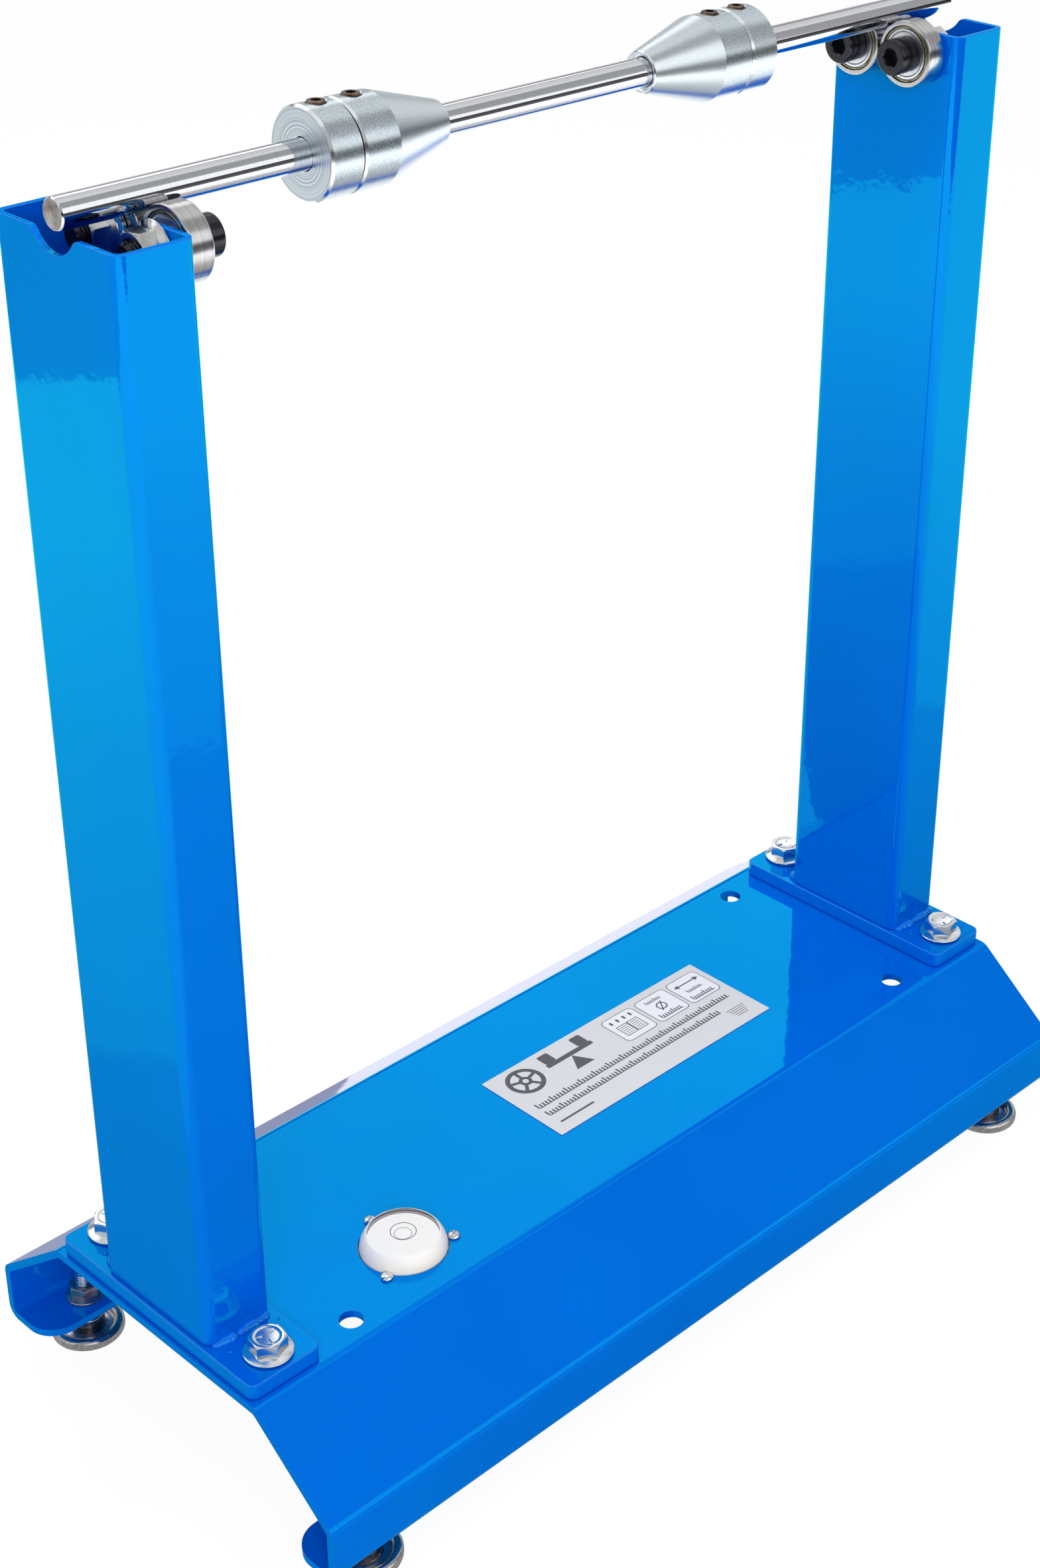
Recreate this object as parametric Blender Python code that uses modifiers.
"""Motorcycle wheel balancer: a bent sheet base on four levelling feet carries two tube posts,
and each post head holds two ball bearings on which a steel shaft with two centring cones turns.

Frame: metres, +Z up, the floor at Z = 0. X runs along the shaft, and the origin lies under the
middle of the base. Every size below is in metres and can be changed by itself.
"""

import math

import bmesh
import bpy
from mathutils import Matrix, Vector

# Fits shared by the whole part
CLEARANCE = 0.0003
OVERRUN = 0.004
MERGE_DISTANCE = 0.00001
THREAD_CHAMFER = 0.0003

# Base: one bent sheet with a flat top, sloped shoulders, upright sides and lips turned inwards
BASE_LENGTH = 0.400
SHOULDER_REACH = 0.03825
SHOULDER_DROP = 0.0301
SIDE_HEIGHT = 0.0235
LIP_WIDTH = 0.0248
SHEET = 0.003
BEND_RADIUS = 0.0055
LIP_CORNER_RADIUS = 0.0115
SPARE_HOLE_RADIUS = 0.0045
SPARE_HOLE_INSET_X = 0.0511
SPARE_HOLE_INSET_Y = 0.0108

# Post plates and their bolts
PLATE_THICKNESS = 0.0062
PLATE_CORNER_RADIUS = 0.0035
PLATE_LEDGE = 0.00155
PLATE_BOLT_END = 0.0101
PLATE_BOLT_GAP = 0.0061
PLATE_INSET_X = 0.00115
PLATE_INSET_Y = 0.0024
PLATE_BOLT_RADIUS = 0.004
PLATE_BOLT_LENGTH = 0.0205
PLATE_BOLT_HEX = 0.013
PLATE_BOLT_HEAD = 0.008
PLATE_BOLT_FLANGE_RADIUS = 0.0089
PLATE_BOLT_FLANGE = 0.0012
PLATE_NUT_HEX = 0.013
PLATE_NUT_HEIGHT = 0.0065

# Posts: folded tubes, open at the top, notched for the shaft
POST_DEPTH = 0.0273
POST_WIDTH = 0.059
POST_WALL = 0.002
POST_BEND_RADIUS = 0.004
POST_LENGTH = 0.3832
SHAFT_RISE = 0.005
NOTCH_RADIUS = 0.0112
NOTCH_LIP_RADIUS = 0.003

# Shaft and the two cone sets
SHAFT_RADIUS = 0.005
SHAFT_INSET = 0.0008
SHAFT_CHAMFER = 0.001
CONE_BORE_EASE = 0.0003
CONE_RADIUS = 0.0147
CONE_TIP_RADIUS = 0.0073
CONE_SKIRT = 0.0136
CONE_TAPER = 0.0266
COLLAR_LENGTH = 0.0126
CONE_CHAMFER = 0.0006
CONE_TIP_COUNTERSINK = 0.0008
COLLAR_COUNTERSINK = 0.0013
LEFT_SET_X = -0.1092
RIGHT_SET_X = 0.0879
GRUB_RADIUS = 0.003
GRUB_HEX = 0.003
GRUB_SOCKET_DEPTH = 0.0025
GRUB_PROUD = 0.0005

# Bearings and what holds them
BEARING_RADIUS = 0.012
BEARING_WIDTH = 0.008
BEARING_CHAMFER = 0.0004
BEARING_RIM = 0.0019
SHIELD_SINK = 0.0005
INNER_RING_RADIUS = 0.0056
SPACER_RADIUS = 0.0058
SPACER_THICKNESS = 0.001
CAP_SCREW_RADIUS = 0.004
CAP_SCREW_LENGTH = 0.0230
CAP_HEAD_RADIUS = 0.0065
CAP_HEAD_HEIGHT = 0.008
CAP_HEAD_CHAMFER = 0.0007
CAP_SOCKET_HEX = 0.006
CAP_SOCKET_DEPTH = 0.004
LOCK_NUT_HEX = 0.013
LOCK_NUT_HEIGHT = 0.008
LOCK_NUT_FLANGE_RADIUS = 0.0088
LOCK_NUT_FLANGE = 0.0014

# Round level let into the base
LEVEL_INSET_X = 0.090
LEVEL_INSET_Y = 0.0276
LEVEL_RADIUS = 0.0162
LEVEL_WALL = 0.0014
LEVEL_RIM_HEIGHT = 0.0019
LEVEL_DEPTH = 0.0085
LEVEL_EAR_RADIUS = 0.0215
LEVEL_EAR = 0.002
LEVEL_FLOOR = 0.0065
DOME_HEIGHT = 0.0043
DOME_RIM = 0.0010
DOME_WALL = 0.0014
LEVEL_SCREW_SPREAD = 0.0186
LEVEL_SCREW_RADIUS = 0.0011
LEVEL_SCREW_HEAD_RADIUS = 0.0023
LEVEL_SCREW_HEAD = 0.0015

# Label on the top face
LABEL_LENGTH = 0.1206
LABEL_WIDTH = 0.0455
LABEL_THICKNESS = 0.0003
LABEL_X = 0.0357
LABEL_Y = -0.0013

# Levelling feet
FOOT_INSET_X = 0.024
FOOT_INSET_Y = 0.01415
FOOT_STUD_RADIUS = 0.003
FOOT_STUD_PROUD = 0.0054
FOOT_STUD_SHOW = 0.0007
FOOT_COLLAR_RADIUS = 0.0056
FOOT_COLLAR = 0.0036
FOOT_DISC_RADIUS = 0.0139
FOOT_DISC_HEIGHT = 0.0045
FOOT_DISC_RIM = 0.0022
FOOT_DISC_FLOOR = 0.0018
FOOT_DISC_CHAMFER = 0.0009
FOOT_HUB_RADIUS = 0.0066
FOOT_HUB_HEIGHT = 0.0088
FOOT_NUT_HEX = 0.010
FOOT_NUT_HEIGHT = 0.006
FOOT_NUT_FLANGE_RADIUS = 0.0071
FOOT_NUT_FLANGE = 0.0012

# Counts of segments round curved faces
ROUND_STEPS = 24
SMALL_STEPS = 16
FINE_STEPS = 32
BEND_STEPS = 4
SMOOTH_ANGLE = math.radians(35)
DOME_SHARES = (0.0, 0.35, 0.65, 0.85, 1.0)

# Sizes and places worked out from the sizes above
PLATE_BOLT_Y = POST_WIDTH / 2 + PLATE_BOLT_GAP + PLATE_BOLT_FLANGE_RADIUS
PLATE_LENGTH = 2 * (PLATE_BOLT_Y + PLATE_BOLT_END)
PLATE_WIDTH = POST_DEPTH + 2 * PLATE_LEDGE
TOP_WIDTH = PLATE_LENGTH + 2 * PLATE_INSET_Y
BASE_WIDTH = TOP_WIDTH + 2 * SHOULDER_REACH
LIP_HEIGHT = FOOT_HUB_HEIGHT + FOOT_STUD_SHOW + FOOT_COLLAR + CLEARANCE
TOP_Z = LIP_HEIGHT + SIDE_HEIGHT + SHOULDER_DROP
PLATE_Z = TOP_Z + CLEARANCE
POST_Z = PLATE_Z + PLATE_THICKNESS + CLEARANCE
POST_TOP_Z = POST_Z + POST_LENGTH
SHAFT_Z = POST_TOP_Z + SHAFT_RISE
PLATE_X = BASE_LENGTH / 2 - PLATE_INSET_X - PLATE_WIDTH / 2
POST_INNER_X = PLATE_X - POST_DEPTH / 2
SHAFT_LENGTH = 2 * (POST_INNER_X + POST_DEPTH - SHAFT_INSET)
SPARE_HOLE_X = BASE_LENGTH / 2 - SPARE_HOLE_INSET_X
SPARE_HOLE_Y = TOP_WIDTH / 2 - SPARE_HOLE_INSET_Y
LEVEL_X = LEVEL_INSET_X - BASE_LENGTH / 2
LEVEL_Y = LEVEL_INSET_Y - TOP_WIDTH / 2
FOOT_X = BASE_LENGTH / 2 - FOOT_INSET_X
FOOT_Y = BASE_WIDTH / 2 - FOOT_INSET_Y
FOOT_STUD_TOP = LIP_HEIGHT + SHEET + CLEARANCE + FOOT_NUT_HEIGHT + FOOT_STUD_PROUD
BEARING_Y = BEARING_RADIUS + CLEARANCE
CENTRE_DISTANCE = SHAFT_RADIUS + BEARING_RADIUS + CLEARANCE
BEARING_Z = SHAFT_Z - math.sqrt(CENTRE_DISTANCE ** 2 - BEARING_Y ** 2)
SPACER_X = POST_INNER_X - CLEARANCE - SPACER_THICKNESS
BEARING_X = SPACER_X - CLEARANCE - BEARING_WIDTH
CAP_HEAD_X = BEARING_X - CLEARANCE
LOCK_NUT_X = POST_INNER_X + POST_WALL + CLEARANCE

COLOURS = {
    "blue_enamel": ((0.0, 0.19, 0.69), 0.28, 0.0),
    "zinc": ((0.66, 0.70, 0.73), 0.30, 1.0),
    "polished_steel": ((0.62, 0.62, 0.64), 0.16, 1.0),
    "bearing_steel": ((0.60, 0.58, 0.54), 0.25, 1.0),
    "black_oxide": ((0.03, 0.03, 0.035), 0.40, 0.6),
    "yellow_zinc": ((0.45, 0.32, 0.18), 0.35, 1.0),
    "white_plastic": ((0.85, 0.86, 0.88), 0.35, 0.0),
    "clear_acrylic": ((0.90, 0.93, 0.95), 0.05, 0.0),
    "silver_foil": ((0.72, 0.72, 0.74), 0.40, 0.0),
}


def clear_scene():
    """Start from an empty file."""
    for item in list(bpy.data.objects):
        bpy.data.objects.remove(item, do_unlink=True)


def collection(name):
    """A collection of the scene, made once."""
    found = bpy.data.collections.get(name)
    if found is None:
        found = bpy.data.collections.new(name)
        bpy.context.scene.collection.children.link(found)
    return found


def finish(item, name, surface):
    """Give an object its own material and put it with the parts."""
    colour, roughness, metallic = COLOURS[surface]
    material = bpy.data.materials.new(name)
    material.use_nodes = True
    shader = material.node_tree.nodes["Principled BSDF"]
    shader.inputs["Base Color"].default_value = (*colour, 1.0)
    shader.inputs["Roughness"].default_value = roughness
    shader.inputs["Metallic"].default_value = metallic
    material.diffuse_color = (*colour, 1.0)
    item.data.materials.clear()
    item.data.materials.append(material)
    item.name = name
    collection("wheel_balancer").objects.link(item)
    return item


def mesh_object(name, shape):
    """An unlinked object that holds a bmesh."""
    mesh = bpy.data.meshes.new(name)
    shape.to_mesh(mesh)
    shape.free()
    return bpy.data.objects.new(name, mesh)


def as_cutter(item):
    """Keep a cutting shape beside the parts, drawn as wires and not built."""
    item.hide_render = True
    item.display_type = "WIRE"
    collection("cutters").objects.link(item)
    return item


def combine(item, other, operation):
    """Cut another shape away from an object, or join it on."""
    change = item.modifiers.new(operation.title(), "BOOLEAN")
    change.operation = operation
    change.solver = "EXACT"
    change.object = other


def settle(item):
    """Turn an object's modifiers into its mesh, shaded smooth with its real edges kept."""
    home = collection("cutters")
    home.objects.link(item)
    graph = bpy.context.evaluated_depsgraph_get()
    solid = bpy.data.meshes.new_from_object(item.evaluated_get(graph))
    home.objects.unlink(item)
    item.modifiers.clear()
    item.data = solid
    solid.shade_smooth()
    solid.set_sharp_from_angle(angle=SMOOTH_ANGLE)
    return item


def turned(name, outline, steps):
    """A body turned round Z, its outline given as radius and height from the top outer edge down."""
    shape = bmesh.new()
    verts = [shape.verts.new((radius, 0, height)) for radius, height in outline]
    for first, second in zip(verts, verts[1:]):
        shape.edges.new((first, second))
    if outline[0][0] > 0:
        shape.edges.new((verts[-1], verts[0]))
    item = mesh_object(name, shape)
    sweep = item.modifiers.new("Turn", "SCREW")
    sweep.steps = steps
    sweep.render_steps = steps
    sweep.use_merge_vertices = True
    sweep.merge_threshold = MERGE_DISTANCE
    sweep.use_smooth_shade = True
    return item


def ring_outline(outer, inner, low, high, chamfer):
    """The outline of a plain ring with broken outer edges."""
    return [
        (outer - chamfer, high),
        (outer, high - chamfer),
        (outer, low + chamfer),
        (outer - chamfer, low),
        (inner, low),
        (inner, high),
    ]


def rod_outline(radius, low, high, chamfer):
    """The outline of a solid rod with broken edges at both ends."""
    return [
        (0, high),
        (radius - chamfer, high),
        (radius, high - chamfer),
        (radius, low + chamfer),
        (radius - chamfer, low),
        (0, low),
    ]


def prism(name, sides, radius, low, high):
    """An upright prism or cylinder between two heights."""
    shape = bmesh.new()
    middle = Matrix.Translation((0, 0, (low + high) / 2))
    bmesh.ops.create_cone(
        shape,
        cap_ends=True,
        segments=sides,
        radius1=radius,
        radius2=radius,
        depth=high - low,
        matrix=middle,
    )
    return mesh_object(name, shape)


def hexagon(name, across_flats, low, high):
    """A six-sided prism stated by its width across flats."""
    return prism(name, 6, across_flats / math.sqrt(3), low, high)


def box(name, size, centre):
    """A plain block."""
    shape = bmesh.new()
    stretch = Matrix.Translation(centre) @ Matrix.Diagonal((*size, 1))
    bmesh.ops.create_cube(shape, size=1, matrix=stretch)
    return mesh_object(name, shape)


def rounded_block(name, size, radius, steps):
    """A block whose four upright edges are rounded, standing on Z = 0."""
    shape = bmesh.new()
    stretch = Matrix.Translation((0, 0, size[2] / 2)) @ Matrix.Diagonal((*size, 1))
    bmesh.ops.create_cube(shape, size=1, matrix=stretch)
    upright = [e for e in shape.edges if abs(e.verts[0].co.z - e.verts[1].co.z) > size[2] / 2]
    bmesh.ops.bevel(shape, geom=upright, offset=radius, segments=steps, profile=0.5, affect="EDGES")
    return mesh_object(name, shape)


def filleted(corners, radius, closed):
    """Points along a path whose corners are rounded by arcs of one radius."""
    points = []
    count = len(corners)
    for index, corner in enumerate(corners):
        here = Vector(corner)
        if not closed and index in (0, count - 1):
            points.append(here)
            continue
        before = (Vector(corners[index - 1]) - here).normalized()
        after = (Vector(corners[(index + 1) % count]) - here).normalized()
        half = before.angle(after) / 2
        centre = here + (before + after).normalized() * (radius / math.sin(half))
        start = (here + before * (radius / math.tan(half)) - centre).normalized()
        end = (here + after * (radius / math.tan(half)) - centre).normalized()
        for step in range(BEND_STEPS + 1):
            points.append(centre + start.slerp(end, step / BEND_STEPS) * radius)
    return points


def folded_sheet(name, path, closed, run, thickness):
    """A sheet folded along a path and drawn out along a straight run, thickened inwards."""
    shape = bmesh.new()
    verts = [shape.verts.new(point) for point in path]
    edges = [shape.edges.new(pair) for pair in zip(verts, verts[1:])]
    if closed:
        edges.append(shape.edges.new((verts[-1], verts[0])))
    drawn = bmesh.ops.extrude_edge_only(shape, edges=edges)["geom"]
    moved = [part for part in drawn if isinstance(part, bmesh.types.BMVert)]
    bmesh.ops.translate(shape, verts=moved, vec=run)
    item = mesh_object(name, shape)
    wall = item.modifiers.new("Wall", "SOLIDIFY")
    wall.thickness = thickness
    wall.offset = -1
    wall.use_even_offset = True
    return item


def place(item, location, turn=(0, 0, 0)):
    """Set an object's place and rotation."""
    item.location = location
    item.rotation_euler = turn
    return item


def hole(item, name, radius, location, depth, turn=(0, 0, 0), steps=SMALL_STEPS):
    """Cut a round hole through an object, centred on a place and along its own axis."""
    cutter = as_cutter(prism(name, steps, radius, -depth / 2, depth / 2))
    place(cutter, location, turn)
    combine(item, cutter, "DIFFERENCE")


SIDES = (("left", -1), ("right", 1))
ROWS = (("front", -1), ("back", 1))
CORNERS = [(f"{side}_{row}", sx, sy) for side, sx in SIDES for row, sy in ROWS]
ALONG_X = {1: (0, math.pi / 2, 0), -1: (0, -math.pi / 2, 0)}


def base_path():
    """The base sheet's outer outline from lip to lip, seen along X."""
    half_top = TOP_WIDTH / 2
    half_base = BASE_WIDTH / 2
    start = -BASE_LENGTH / 2
    front = [
        (start, LIP_WIDTH - half_base, LIP_HEIGHT),
        (start, -half_base, LIP_HEIGHT),
        (start, -half_base, TOP_Z - SHOULDER_DROP),
        (start, -half_top, TOP_Z),
    ]
    back = [(x, -y, z) for x, y, z in reversed(front)]
    return filleted(front + back, BEND_RADIUS, closed=False)


def corner_cutter(name, sx, sy):
    """What a lip's rounded end corner leaves out: a square less a quarter round."""
    radius = LIP_CORNER_RADIUS
    reach = radius + OVERRUN
    low = LIP_HEIGHT - OVERRUN
    high = LIP_HEIGHT + SHEET + BEND_RADIUS / 2
    tip_x = sx * BASE_LENGTH / 2
    tip_y = sy * (BASE_WIDTH / 2 - LIP_WIDTH)
    middle = (tip_x + sx * (OVERRUN - radius) / 2, tip_y - sy * (OVERRUN - radius) / 2, (low + high) / 2)
    block = box(name, (reach, reach, high - low), middle)
    core = as_cutter(prism(name + "_round", ROUND_STEPS, radius, low - OVERRUN, high + OVERRUN))
    place(core, (tip_x - sx * radius, tip_y + sy * radius, 0))
    combine(block, core, "DIFFERENCE")
    return as_cutter(block)


def base_channel():
    """The bent sheet base with every hole that its fastenings need."""
    item = folded_sheet("base_channel", base_path(), False, (BASE_LENGTH, 0, 0), SHEET)
    depth = 2 * (SHEET + OVERRUN)
    for corner, sx, sy in CORNERS:
        spare = (sx * SPARE_HOLE_X, sy * SPARE_HOLE_Y, TOP_Z)
        hole(item, f"spare_hole_{corner}", SPARE_HOLE_RADIUS, spare, depth)
        bolt = (sx * PLATE_X, sy * PLATE_BOLT_Y, TOP_Z)
        hole(item, f"bolt_hole_{corner}", PLATE_BOLT_RADIUS + CLEARANCE, bolt, depth)
        stud = (sx * FOOT_X, sy * FOOT_Y, LIP_HEIGHT)
        hole(item, f"foot_hole_{corner}", FOOT_STUD_RADIUS + CLEARANCE, stud, depth)
        combine(item, corner_cutter(f"lip_corner_{corner}", sx, sy), "DIFFERENCE")
    seat = (LEVEL_X, LEVEL_Y, TOP_Z)
    hole(item, "level_hole", LEVEL_RADIUS + CLEARANCE, seat, depth, steps=FINE_STEPS)
    for index in range(3):
        point = level_screw_point(index)
        hole(item, f"level_screw_hole_{index}", LEVEL_SCREW_RADIUS + CLEARANCE, (*point, TOP_Z), depth)
    settle(item)
    return finish(item, "base_channel", "blue_enamel")


def rating_label():
    """The thin plate on the top face."""
    size = (LABEL_LENGTH, LABEL_WIDTH, LABEL_THICKNESS)
    item = box("rating_label", size, (0, 0, LABEL_THICKNESS / 2))
    place(item, (LABEL_X, LABEL_Y, TOP_Z + CLEARANCE / 2))
    return finish(item, "rating_label", "silver_foil")


def post_plate(side, sx):
    """The thick plate a post stands on."""
    name = f"{side}_post_plate"
    size = (PLATE_WIDTH, PLATE_LENGTH, PLATE_THICKNESS)
    item = rounded_block(name, size, PLATE_CORNER_RADIUS, BEND_STEPS)
    place(item, (sx * PLATE_X, 0, PLATE_Z))
    for row, sy in ROWS:
        point = (sx * PLATE_X, sy * PLATE_BOLT_Y, PLATE_Z)
        depth = 2 * (PLATE_THICKNESS + OVERRUN)
        hole(item, f"{side}_{row}_plate_hole", PLATE_BOLT_RADIUS + CLEARANCE, point, depth)
    settle(item)
    return finish(item, name, "blue_enamel")


def notch_cutter(name):
    """The round notch through a post's top, whose lips are rounded over."""
    reach = POST_DEPTH / 2 + OVERRUN
    rise = SHAFT_RISE + NOTCH_LIP_RADIUS
    lip_centre = math.sqrt((NOTCH_RADIUS + NOTCH_LIP_RADIUS) ** 2 - rise ** 2)
    outline = [(lip_centre, -SHAFT_RISE + OVERRUN), (lip_centre, -SHAFT_RISE)]
    toward_shaft = math.atan2(rise, -lip_centre)
    for step in range(1, BEND_STEPS + 1):
        angle = math.pi / 2 + (toward_shaft - math.pi / 2) * step / BEND_STEPS
        across = lip_centre + NOTCH_LIP_RADIUS * math.cos(angle)
        height = -rise + NOTCH_LIP_RADIUS * math.sin(angle)
        outline.append((across, height))
    first = math.atan2(outline[-1][1], outline[-1][0])
    for step in range(1, 2 * BEND_STEPS + 1):
        angle = first + (-math.pi / 2 - first) * step / (2 * BEND_STEPS)
        outline.append((NOTCH_RADIUS * math.cos(angle), NOTCH_RADIUS * math.sin(angle)))
    outline += [(-across, height) for across, height in reversed(outline[:-1])]
    shape = bmesh.new()
    verts = [shape.verts.new((-reach, across, height)) for across, height in outline]
    face = shape.faces.new(verts)
    drawn = bmesh.ops.extrude_face_region(shape, geom=[face])["geom"]
    moved = [part for part in drawn if isinstance(part, bmesh.types.BMVert)]
    bmesh.ops.translate(shape, verts=moved, vec=(2 * reach, 0, 0))
    bmesh.ops.recalc_face_normals(shape, faces=shape.faces)
    return as_cutter(mesh_object(name, shape))


def post(side, sx):
    """A folded tube, notched at the top and drilled for the bearing screws."""
    name = f"{side}_post"
    half_depth = POST_DEPTH / 2
    half_width = POST_WIDTH / 2
    corners = [
        (-half_depth, -half_width, 0),
        (-half_depth, half_width, 0),
        (half_depth, half_width, 0),
        (half_depth, -half_width, 0),
    ]
    path = filleted(corners, POST_BEND_RADIUS, closed=True)
    item = folded_sheet(name, path, True, (0, 0, POST_LENGTH), POST_WALL)
    place(item, (sx * PLATE_X, 0, POST_Z))
    combine(item, place(notch_cutter(f"{side}_notch"), (sx * PLATE_X, 0, SHAFT_Z)), "DIFFERENCE")
    for row, sy in ROWS:
        point = (sx * POST_INNER_X, sy * BEARING_Y, BEARING_Z)
        depth = 2 * (POST_WALL + OVERRUN)
        turn = ALONG_X[1]
        hole(item, f"{side}_{row}_screw_hole", CAP_SCREW_RADIUS + CLEARANCE, point, depth, turn)
    settle(item)
    return finish(item, name, "blue_enamel")


def flange_bolt():
    """A hexagon head on a flange with its shank, underside of the flange at Z = 0."""
    shank = PLATE_BOLT_RADIUS
    outline = [
        (0, PLATE_BOLT_HEAD / 2),
        (PLATE_BOLT_HEX / 2, PLATE_BOLT_FLANGE * 2),
        (PLATE_BOLT_FLANGE_RADIUS, PLATE_BOLT_FLANGE),
        (PLATE_BOLT_FLANGE_RADIUS, 0),
        (shank, 0),
        (shank, THREAD_CHAMFER - PLATE_BOLT_LENGTH),
        (shank - THREAD_CHAMFER, -PLATE_BOLT_LENGTH),
        (0, -PLATE_BOLT_LENGTH),
    ]
    item = turned("plate_bolt", outline, SMALL_STEPS)
    head = as_cutter(hexagon("plate_bolt_hexagon", PLATE_BOLT_HEX, PLATE_BOLT_FLANGE / 2, PLATE_BOLT_HEAD))
    combine(item, head, "UNION")
    return settle(item).data


def hexagon_nut(name, across_flats, height, bore, flange_radius=0, flange=0):
    """A hexagon nut standing on Z = 0, with or without a flange under it."""
    item = hexagon(name, across_flats, 0, height)
    if flange:
        skirt = as_cutter(prism(name + "_flange", SMALL_STEPS, flange_radius, 0, flange))
        combine(item, skirt, "UNION")
    cutter = as_cutter(prism(name + "_bore", SMALL_STEPS, bore, -OVERRUN, height + OVERRUN))
    combine(item, cutter, "DIFFERENCE")
    return settle(item).data


def plate_fastenings():
    """The four flange bolts that hold the post plates, and the nuts under the base."""
    bolt = flange_bolt()
    bore = PLATE_BOLT_RADIUS + CLEARANCE
    nut = hexagon_nut("plate_nut", PLATE_NUT_HEX, PLATE_NUT_HEIGHT, bore)
    for corner, sx, sy in CORNERS:
        x = sx * PLATE_X
        y = sy * PLATE_BOLT_Y
        item = bpy.data.objects.new("bolt", bolt.copy())
        place(item, (x, y, PLATE_Z + PLATE_THICKNESS + CLEARANCE))
        finish(item, f"{corner}_plate_bolt", "zinc")
        item = bpy.data.objects.new("nut", nut.copy())
        place(item, (x, y, TOP_Z - SHEET - CLEARANCE - PLATE_NUT_HEIGHT))
        finish(item, f"{corner}_plate_nut", "zinc")


def cap_screw():
    """A socket head screw, underside of its head at Z = 0 and its shank below."""
    head = CAP_HEAD_RADIUS
    shank = CAP_SCREW_RADIUS
    outline = [
        (0, CAP_HEAD_HEIGHT),
        (head - CAP_HEAD_CHAMFER, CAP_HEAD_HEIGHT),
        (head, CAP_HEAD_HEIGHT - CAP_HEAD_CHAMFER),
        (head, 0),
        (shank, 0),
        (shank, CAP_HEAD_CHAMFER - CAP_SCREW_LENGTH),
        (shank - CAP_HEAD_CHAMFER, -CAP_SCREW_LENGTH),
        (0, -CAP_SCREW_LENGTH),
    ]
    item = turned("cap_screw", outline, SMALL_STEPS)
    top = CAP_HEAD_HEIGHT + OVERRUN
    socket = hexagon("cap_screw_socket", CAP_SOCKET_HEX, CAP_HEAD_HEIGHT - CAP_SOCKET_DEPTH, top)
    combine(item, as_cutter(socket), "DIFFERENCE")
    return settle(item).data


def outer_ring():
    """A bearing's outer ring with its two shields, standing on Z = 0."""
    rim = BEARING_RADIUS - BEARING_RIM
    bore = INNER_RING_RADIUS + CLEARANCE
    low = SHIELD_SINK
    high = BEARING_WIDTH - SHIELD_SINK
    edge = BEARING_RADIUS - BEARING_CHAMFER
    outline = [
        (edge, BEARING_WIDTH),
        (BEARING_RADIUS, BEARING_WIDTH - BEARING_CHAMFER),
        (BEARING_RADIUS, BEARING_CHAMFER),
        (edge, 0),
        (rim, 0),
        (rim, low),
        (bore, low),
        (bore, high),
        (rim, high),
        (rim, BEARING_WIDTH),
    ]
    return settle(turned("outer_ring", outline, ROUND_STEPS)).data


def inner_ring():
    """A bearing's inner ring, standing on Z = 0."""
    bore = CAP_SCREW_RADIUS + CLEARANCE
    outline = ring_outline(INNER_RING_RADIUS, bore, 0, BEARING_WIDTH, BEARING_CHAMFER / 2)
    return settle(turned("inner_ring", outline, SMALL_STEPS)).data


def spacer():
    """The thin washer between a bearing and its post."""
    bore = CAP_SCREW_RADIUS + CLEARANCE
    outline = [
        (SPACER_RADIUS, SPACER_THICKNESS),
        (SPACER_RADIUS, 0),
        (bore, 0),
        (bore, SPACER_THICKNESS),
    ]
    return settle(turned("spacer", outline, SMALL_STEPS)).data


def bearings():
    """Two bearings on each post, with the screw, washer and flange nut that hold each."""
    bore = CAP_SCREW_RADIUS + CLEARANCE
    screw = cap_screw()
    nut = hexagon_nut("lock_nut", LOCK_NUT_HEX, LOCK_NUT_HEIGHT, bore, LOCK_NUT_FLANGE_RADIUS, LOCK_NUT_FLANGE)
    pieces = (
        ("cap_screw", screw, CAP_HEAD_X, -1, "black_oxide"),
        ("bearing_outer_ring", outer_ring(), BEARING_X, 1, "bearing_steel"),
        ("bearing_inner_ring", inner_ring(), BEARING_X, 1, "bearing_steel"),
        ("bearing_spacer", spacer(), SPACER_X, 1, "zinc"),
        ("lock_nut", nut, LOCK_NUT_X, 1, "zinc"),
    )
    for corner, sx, sy in CORNERS:
        for label, mesh, along, facing, surface in pieces:
            item = bpy.data.objects.new(label, mesh.copy())
            turn = ALONG_X[sx * facing]
            place(item, (sx * along, sy * BEARING_Y, BEARING_Z), turn)
            finish(item, f"{corner}_{label}", surface)


def shaft():
    """The plain ground shaft that the wheel is clamped on."""
    half = SHAFT_LENGTH / 2
    item = settle(turned("shaft", rod_outline(SHAFT_RADIUS, -half, half, SHAFT_CHAMFER), ROUND_STEPS))
    place(item, (0, 0, SHAFT_Z), ALONG_X[1])
    return finish(item, "shaft", "polished_steel")


def grub_hole(item, name, along):
    """Drill the hole for a grub screw through the top wall of a cone or collar."""
    high = CONE_RADIUS + OVERRUN
    cutter = as_cutter(prism(name, SMALL_STEPS, GRUB_RADIUS + CLEARANCE, 0, high))
    place(cutter, (0, 0, along), (0, -math.pi / 2, 0))
    combine(item, cutter, "DIFFERENCE")


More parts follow.
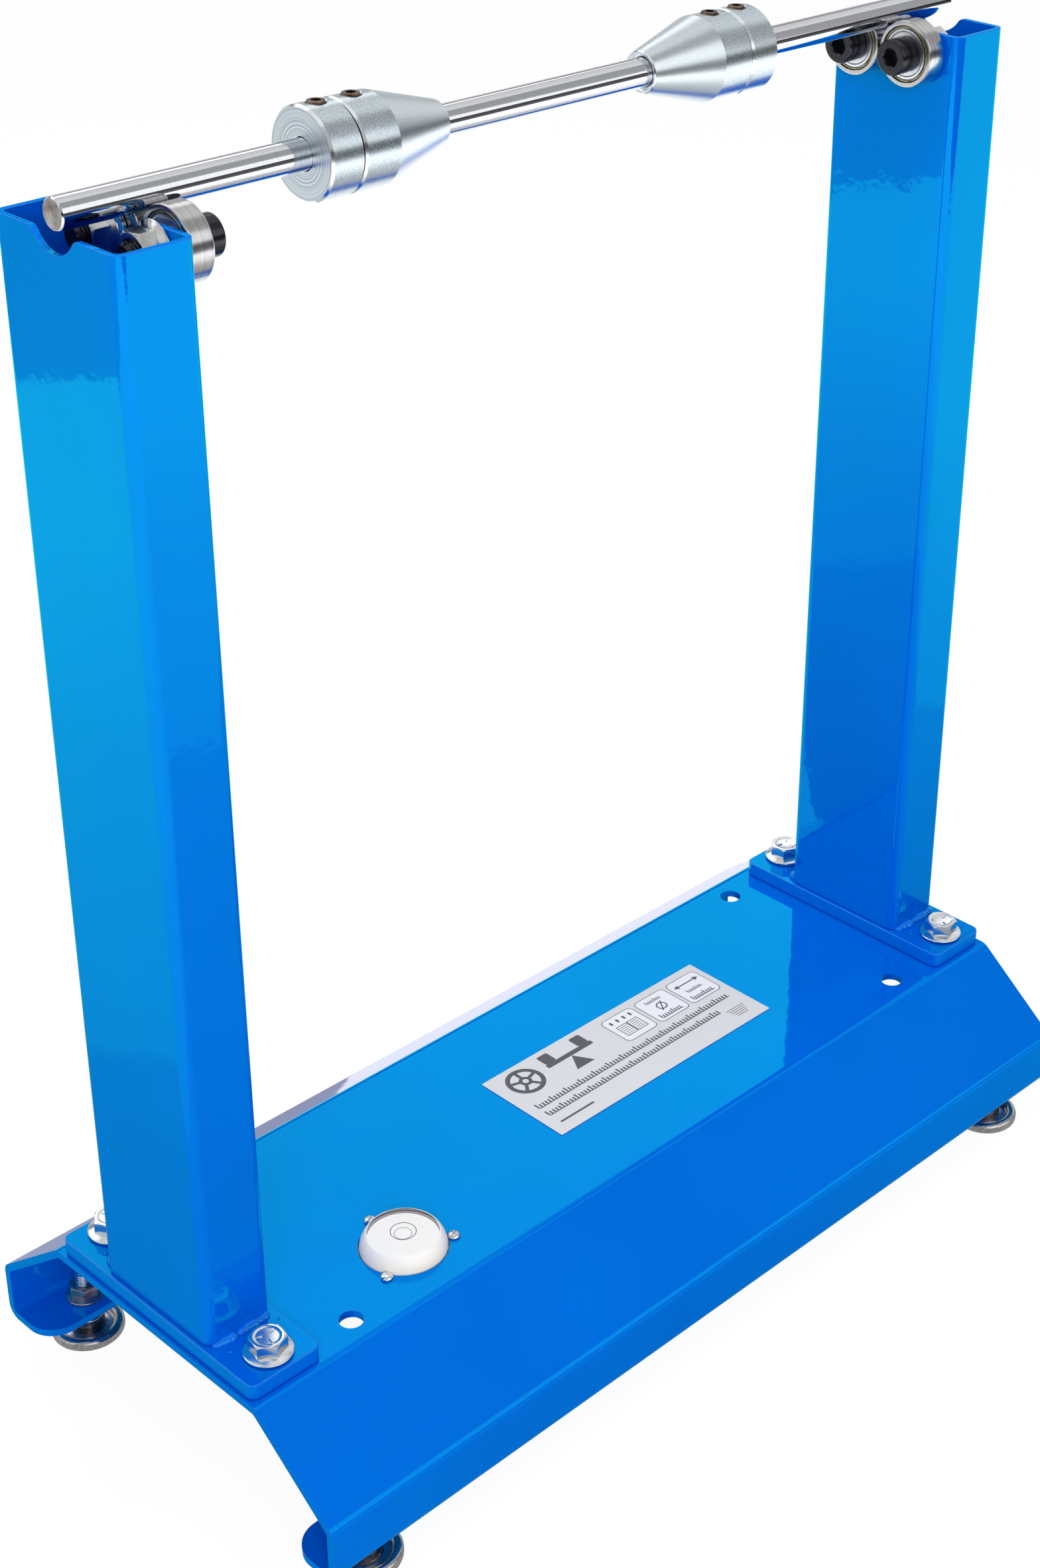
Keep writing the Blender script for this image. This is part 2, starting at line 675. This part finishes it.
def cone_shape():
    """A cone and its skirt along +Z from the skirt's end face at Z = 0, grub hole towards -X."""
    bore = SHAFT_RADIUS + CONE_BORE_EASE
    tip = CONE_SKIRT + CONE_TAPER
    outline = [
        (bore + CONE_TIP_COUNTERSINK, tip),
        (CONE_TIP_RADIUS, tip),
        (CONE_RADIUS, CONE_SKIRT),
        (CONE_RADIUS, CONE_CHAMFER),
        (CONE_RADIUS - CONE_CHAMFER, 0),
        (bore, 0),
        (bore, tip - CONE_TIP_COUNTERSINK),
    ]
    item = turned("cone", outline, FINE_STEPS)
    grub_hole(item, "cone_grub_hole", CONE_SKIRT / 2)
    return settle(item).data


def collar_shape():
    """A locking collar along +Z from its outer face at Z = 0, grub hole towards -X."""
    bore = SHAFT_RADIUS + CONE_BORE_EASE
    outline = [
        (CONE_RADIUS - CONE_CHAMFER, COLLAR_LENGTH),
        (CONE_RADIUS, COLLAR_LENGTH - CONE_CHAMFER),
        (CONE_RADIUS, CONE_CHAMFER),
        (CONE_RADIUS - CONE_CHAMFER, 0),
        (bore + COLLAR_COUNTERSINK, 0),
        (bore, COLLAR_COUNTERSINK),
        (bore, COLLAR_LENGTH),
    ]
    item = turned("collar", outline, FINE_STEPS)
    grub_hole(item, "collar_grub_hole", COLLAR_LENGTH / 2)
    return settle(item).data


def grub_shape():
    """A headless screw with a hexagon socket, its top at Z = 0."""
    length = CONE_RADIUS + GRUB_PROUD - SHAFT_RADIUS - CLEARANCE
    item = turned("grub", rod_outline(GRUB_RADIUS, -length, 0, THREAD_CHAMFER), SMALL_STEPS)
    socket = hexagon("grub_socket", GRUB_HEX, -GRUB_SOCKET_DEPTH, OVERRUN)
    combine(item, as_cutter(socket), "DIFFERENCE")
    return settle(item).data


def cone_sets():
    """A cone, a collar and their two grub screws at each side, cones pointing at each other."""
    cone = cone_shape()
    collar = collar_shape()
    grub = grub_shape()
    for (side, sx), face in zip(SIDES, (LEFT_SET_X, RIGHT_SET_X)):
        inwards = -sx
        joint = face + inwards * (COLLAR_LENGTH + CLEARANCE)
        item = bpy.data.objects.new("collar", collar.copy())
        place(item, (face, 0, SHAFT_Z), turn_inwards(inwards))
        finish(item, f"{side}_collar", "zinc")
        item = bpy.data.objects.new("cone", cone.copy())
        place(item, (joint, 0, SHAFT_Z), turn_inwards(inwards))
        finish(item, f"{side}_cone", "zinc")
        top = SHAFT_Z + CONE_RADIUS + GRUB_PROUD
        item = bpy.data.objects.new("grub", grub.copy())
        place(item, (face + inwards * COLLAR_LENGTH / 2, 0, top))
        finish(item, f"{side}_collar_grub_screw", "yellow_zinc")
        item = bpy.data.objects.new("grub", grub.copy())
        place(item, (joint + inwards * CONE_SKIRT / 2, 0, top))
        finish(item, f"{side}_cone_grub_screw", "yellow_zinc")


def turn_inwards(inwards):
    """The rotation that lays local +Z along the given X direction with local -X upwards."""
    if inwards > 0:
        return (0, math.pi / 2, 0)
    return (0, math.pi / 2, math.pi)


def level_screw_point(index):
    """The place of one of the level's three screws, the first straight behind its centre."""
    angle = math.pi / 2 + index * 2 * math.pi / 3
    x = LEVEL_X + LEVEL_SCREW_SPREAD * math.cos(angle)
    y = LEVEL_Y + LEVEL_SCREW_SPREAD * math.sin(angle)
    return (x, y)


def level_cup():
    """The level's white cup, which hangs through the base on an ear ring under the sheet."""
    under = -SHEET - CLEARANCE
    inner = LEVEL_RADIUS - LEVEL_WALL
    outline = [
        (0, LEVEL_FLOOR - LEVEL_DEPTH),
        (inner, LEVEL_FLOOR - LEVEL_DEPTH),
        (inner, LEVEL_RIM_HEIGHT),
        (LEVEL_RADIUS, LEVEL_RIM_HEIGHT),
        (LEVEL_RADIUS, under),
        (LEVEL_EAR_RADIUS, under),
        (LEVEL_EAR_RADIUS, under - LEVEL_EAR),
        (LEVEL_RADIUS, under - LEVEL_EAR),
        (LEVEL_RADIUS - LEVEL_WALL, -LEVEL_DEPTH),
        (0, -LEVEL_DEPTH),
    ]
    item = turned("level_cup", outline, FINE_STEPS)
    place(item, (LEVEL_X, LEVEL_Y, TOP_Z))
    for index in range(3):
        point = level_screw_point(index)
        depth = 2 * (SHEET + LEVEL_EAR + OVERRUN)
        hole(item, f"level_ear_hole_{index}", LEVEL_SCREW_RADIUS + CLEARANCE, (*point, TOP_Z), depth)
    settle(item)
    return finish(item, "level_cup", "white_plastic")


def level_dome():
    """The level's clear cover, a shallow dome on the cup's rim."""
    low = LEVEL_RIM_HEIGHT + CLEARANCE
    top = low + DOME_HEIGHT
    inner = LEVEL_RADIUS - 2 * LEVEL_WALL
    outer_drop = DOME_HEIGHT - DOME_RIM
    inner_drop = DOME_HEIGHT - DOME_WALL
    outline = [(LEVEL_RADIUS * share, top - outer_drop * share ** 2) for share in DOME_SHARES]
    outline.append((LEVEL_RADIUS, low))
    outline += [(inner * share, top - DOME_WALL - inner_drop * share ** 2) for share in reversed(DOME_SHARES)]
    item = settle(turned("level_dome", outline, FINE_STEPS))
    place(item, (LEVEL_X, LEVEL_Y, TOP_Z))
    return finish(item, "level_dome", "clear_acrylic")


def level_screws():
    """Three small round-headed screws that hold the level to the base."""
    length = SHEET + CLEARANCE + LEVEL_EAR
    head = LEVEL_SCREW_HEAD_RADIUS
    outline = [
        (0, LEVEL_SCREW_HEAD),
        (head / 2, LEVEL_SCREW_HEAD),
        (head, LEVEL_SCREW_HEAD / 2),
        (head, 0),
        (LEVEL_SCREW_RADIUS, 0),
        (LEVEL_SCREW_RADIUS, -length),
        (0, -length),
    ]
    mesh = settle(turned("level_screw", outline, SMALL_STEPS)).data
    for index in range(3):
        item = bpy.data.objects.new("screw", mesh.copy())
        place(item, (*level_screw_point(index), TOP_Z + CLEARANCE))
        finish(item, f"level_screw_{index + 1}", "zinc")


def foot_disc():
    """A dished steel foot with a raised rim and a hub, standing on Z = 0."""
    rim = FOOT_DISC_RADIUS - FOOT_DISC_RIM
    chamfer = FOOT_DISC_CHAMFER
    bore = FOOT_STUD_RADIUS + CLEARANCE
    outline = [
        (0, FOOT_DISC_FLOOR),
        (bore, FOOT_DISC_FLOOR),
        (bore, FOOT_HUB_HEIGHT),
        (FOOT_HUB_RADIUS - chamfer, FOOT_HUB_HEIGHT),
        (FOOT_HUB_RADIUS, FOOT_HUB_HEIGHT - chamfer),
        (FOOT_HUB_RADIUS, FOOT_DISC_FLOOR),
        (rim, FOOT_DISC_FLOOR),
        (rim, FOOT_DISC_HEIGHT),
        (FOOT_DISC_RADIUS - chamfer, FOOT_DISC_HEIGHT),
        (FOOT_DISC_RADIUS, FOOT_DISC_HEIGHT - chamfer),
        (FOOT_DISC_RADIUS, chamfer),
        (FOOT_DISC_RADIUS - chamfer, 0),
        (0, 0),
    ]
    return settle(turned("foot_disc", outline, ROUND_STEPS)).data


def foot_stud():
    """A foot's threaded stud with the collar that bears under the lip, at its real height."""
    collar_top = LIP_HEIGHT - CLEARANCE
    collar_low = collar_top - FOOT_COLLAR
    foot = FOOT_DISC_FLOOR + CLEARANCE
    outline = [
        (0, FOOT_STUD_TOP),
        (FOOT_STUD_RADIUS - THREAD_CHAMFER, FOOT_STUD_TOP),
        (FOOT_STUD_RADIUS, FOOT_STUD_TOP - THREAD_CHAMFER),
        (FOOT_STUD_RADIUS, collar_top),
        (FOOT_COLLAR_RADIUS, collar_top),
        (FOOT_COLLAR_RADIUS, collar_low),
        (FOOT_STUD_RADIUS, collar_low),
        (FOOT_STUD_RADIUS, foot),
        (0, foot),
    ]
    return settle(turned("foot_stud", outline, SMALL_STEPS)).data


def feet():
    """Four levelling feet: a dished disc, a stud and the flange nut that locks it on the lip."""
    disc = foot_disc()
    stud = foot_stud()
    bore = FOOT_STUD_RADIUS + CLEARANCE
    nut = hexagon_nut("foot_nut", FOOT_NUT_HEX, FOOT_NUT_HEIGHT, bore, FOOT_NUT_FLANGE_RADIUS, FOOT_NUT_FLANGE)
    for corner, sx, sy in CORNERS:
        x = sx * FOOT_X
        y = sy * FOOT_Y
        for label, mesh, height, surface in (
            ("foot_disc", disc, 0, "polished_steel"),
            ("foot_stud", stud, 0, "zinc"),
            ("foot_nut", nut, LIP_HEIGHT + SHEET + CLEARANCE, "yellow_zinc"),
        ):
            item = bpy.data.objects.new(label, mesh.copy())
            place(item, (x, y, height))
            finish(item, f"{corner}_{label}", surface)


def main():
    """Build every piece."""
    clear_scene()
    base_channel()
    rating_label()
    for side, sx in SIDES:
        post_plate(side, sx)
        post(side, sx)
    plate_fastenings()
    bearings()
    shaft()
    cone_sets()
    level_cup()
    level_dome()
    level_screws()
    feet()


main()
